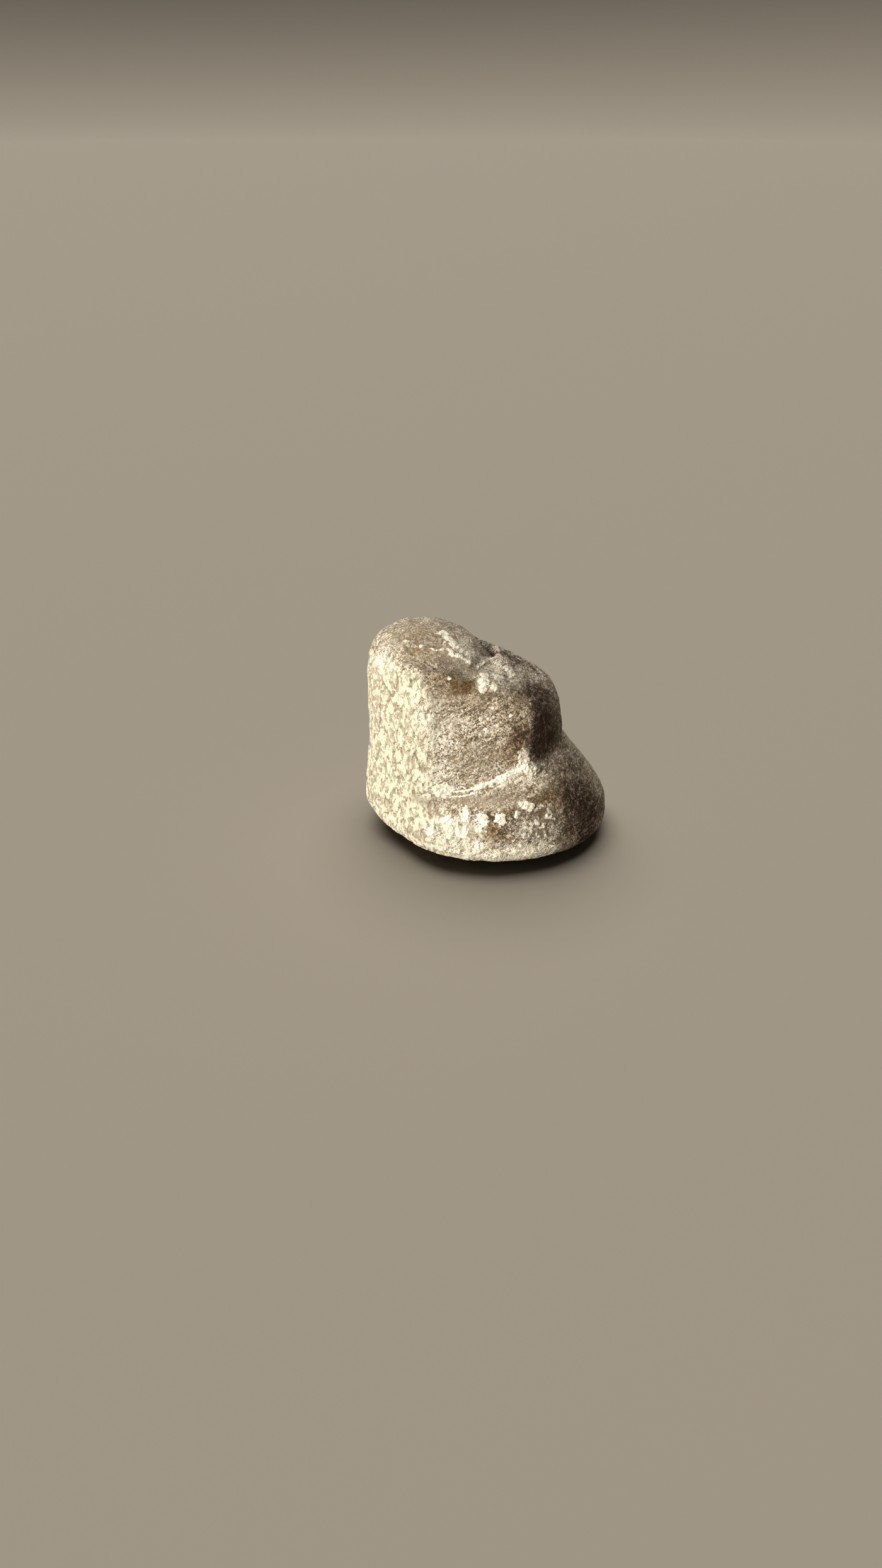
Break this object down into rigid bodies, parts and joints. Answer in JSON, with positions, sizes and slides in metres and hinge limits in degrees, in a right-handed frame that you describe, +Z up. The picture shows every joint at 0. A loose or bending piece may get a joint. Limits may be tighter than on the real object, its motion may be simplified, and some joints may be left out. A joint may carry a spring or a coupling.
{
  "type": "fossil trochid gastropod",
  "caption": "Small worn fossil top shell, rolled smooth, with a leaning apex, a flat worn front and one deep seam between its last whorls.",
  "frame": {"origin": "on the flat worn spot of the underside, close to the middle of the base", "axes": "+Z up through the spire, +X to the right of the worn front face, -Y out of the worn front face"},
  "size_m": [0.0167, 0.0138, 0.0146],
  "materials": {
    "fossil_stone": "matte, grainy, cream to grey brown"
  },
  "bodies": {
    "root": {"shell": "fossil_stone"}
  },
  "joints": []
}
